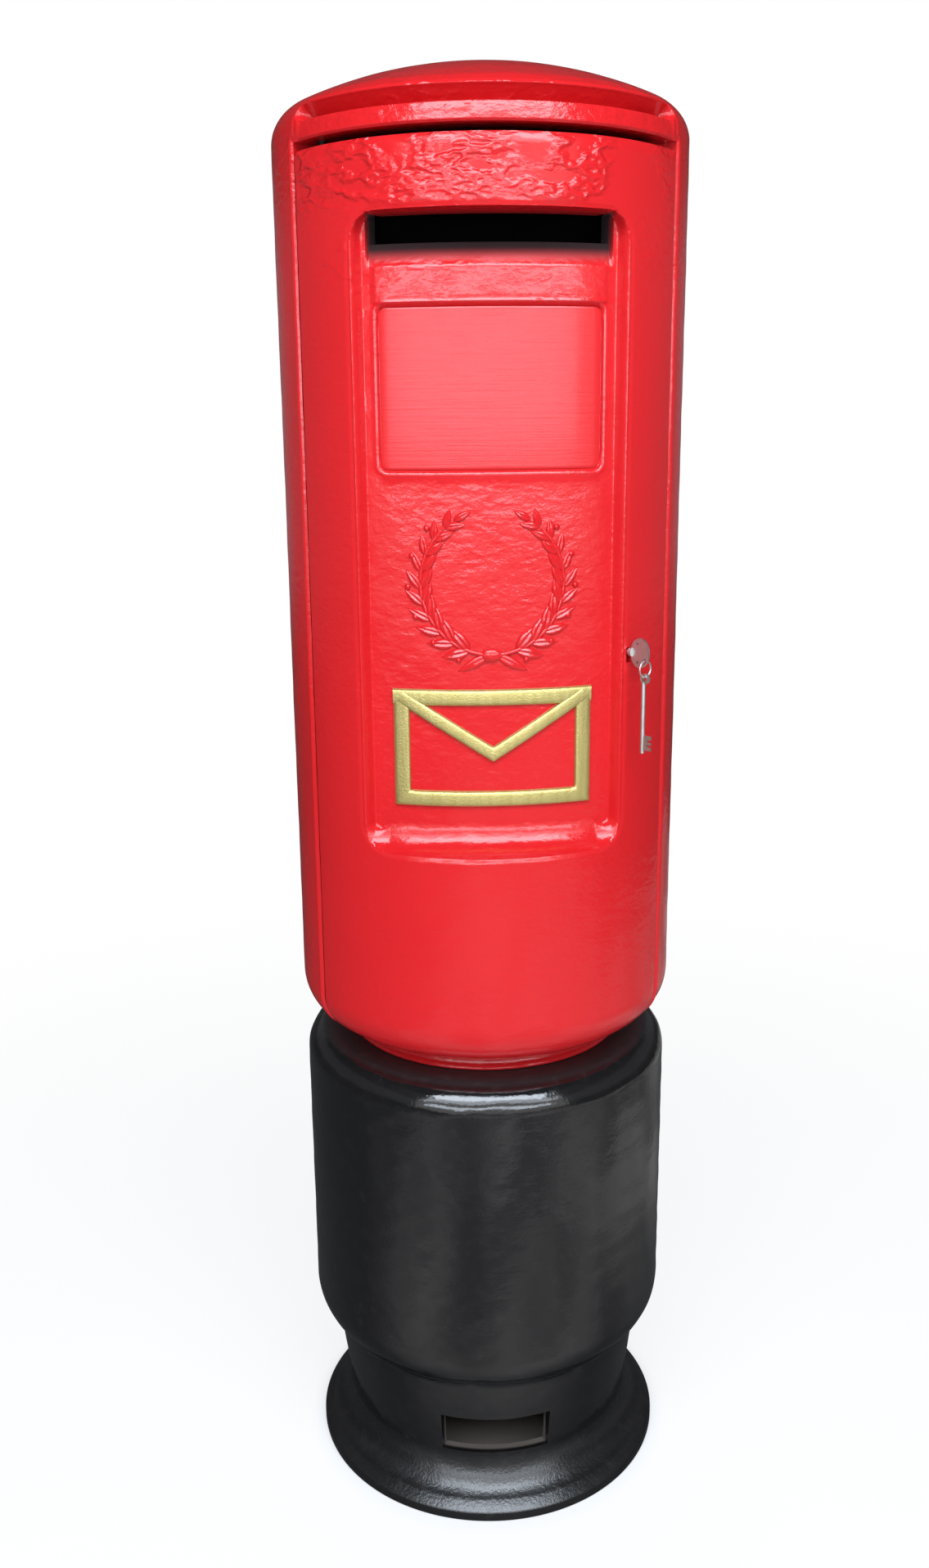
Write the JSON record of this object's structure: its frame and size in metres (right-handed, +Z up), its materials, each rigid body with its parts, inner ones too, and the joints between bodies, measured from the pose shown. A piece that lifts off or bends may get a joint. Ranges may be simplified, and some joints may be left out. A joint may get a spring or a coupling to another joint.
{
  "type": "pillar letter box",
  "caption": "Free-standing red cast-iron pillar letter box with a domed roof, a recessed front door with posting slot and lock, keys in the door, and a black pedestal with a buried root",
  "frame": {"origin": "centre of the underside of the root's flange, on the pillar's axis", "axes": "+Z up along the pillar's axis, the door faces -Y, +X to the right of someone facing the door"},
  "size_m": [0.48, 0.48, 1.775],
  "materials": {
    "red_enamel": "thick glossy red enamel on rough cast iron",
    "black_paint": "glossy black brushed paint on cast iron",
    "gilt_paint": "worn gold paint",
    "plain_steel": "plain steel",
    "galvanised_sheet": "galvanised sheet",
    "lock_brass": "plain brass",
    "nickel_key": "worn nickel plate"
  },
  "bodies": {
    "pillar": {"pedestal": "black_paint", "body_shell": "red_enamel", "mail_floor": "galvanised_sheet", "joint_bolt_1": "plain_steel", "joint_bolt_2": "plain_steel", "joint_bolt_3": "plain_steel", "joint_bolt_4": "plain_steel", "joint_nut_1": "plain_steel", "joint_nut_2": "plain_steel", "joint_nut_3": "plain_steel", "joint_nut_4": "plain_steel", "lower_pivot_bracket": "plain_steel", "thrust_washer": "lock_brass", "strike_keep": "plain_steel", "strike_screw_1": "plain_steel", "strike_screw_2": "plain_steel", "mail_guard": "galvanised_sheet", "guard_clip_left": "plain_steel", "guard_clip_right": "plain_steel"},
    "door": {"door": "red_enamel", "notice_plate": "red_enamel", "wreath_relief": "red_enamel", "letter_badge": "gilt_paint", "upper_pivot_pin": "plain_steel", "lower_pivot_pin": "plain_steel", "letter_chute": "galvanised_sheet", "chute_screw_1": "plain_steel", "chute_screw_2": "plain_steel", "lock_case": "lock_brass", "lock_cover": "lock_brass", "lock_lever_1": "lock_brass", "lock_lever_2": "lock_brass", "lock_lever_3": "lock_brass", "lock_screw_1": "plain_steel", "lock_screw_2": "plain_steel", "lock_screw_3": "plain_steel", "lock_screw_4": "plain_steel"},
    "lock_bolt": {"lock_bolt": "plain_steel"},
    "key": {"key": "nickel_key"},
    "key_ring": {"key_ring": "nickel_key"},
    "spare_key": {"spare_key": "nickel_key"}
  },
  "joints": [
    {"name": "door_swing", "type": "hinge", "parent": "pillar", "child": "door", "pos_m": [-0.17612, -0.12332, 1.15], "axis": [0, 0, -1], "range_deg": [0, 90]},
    {"name": "bolt_throw", "type": "slide", "parent": "door", "child": "lock_bolt", "axis": [0.7593, 0.6508, 0], "range_m": [0, 0.016]},
    {"name": "key_turn", "type": "hinge", "parent": "door", "child": "key", "pos_m": [0.15619, -0.18222, 1.1336], "axis": [0.6508, -0.7593, 0], "range_deg": [0, 180]},
    {"name": "ring_swing", "type": "hinge", "parent": "key", "child": "key_ring", "pos_m": [0.17245, -0.20121, 1.1256], "axis": [0.6508, -0.7593, 0], "range_deg": [-20, 20]},
    {"name": "spare_swing", "type": "hinge", "parent": "key_ring", "child": "spare_key", "pos_m": [0.17245, -0.20121, 1.1066], "axis": [0.7593, 0.6508, 0], "range_deg": [-10, 10]}
  ],
  "couplings": [
    {"joint": "key_turn", "follows": "bolt_throw", "rad_per_m": 196.34}
  ]
}
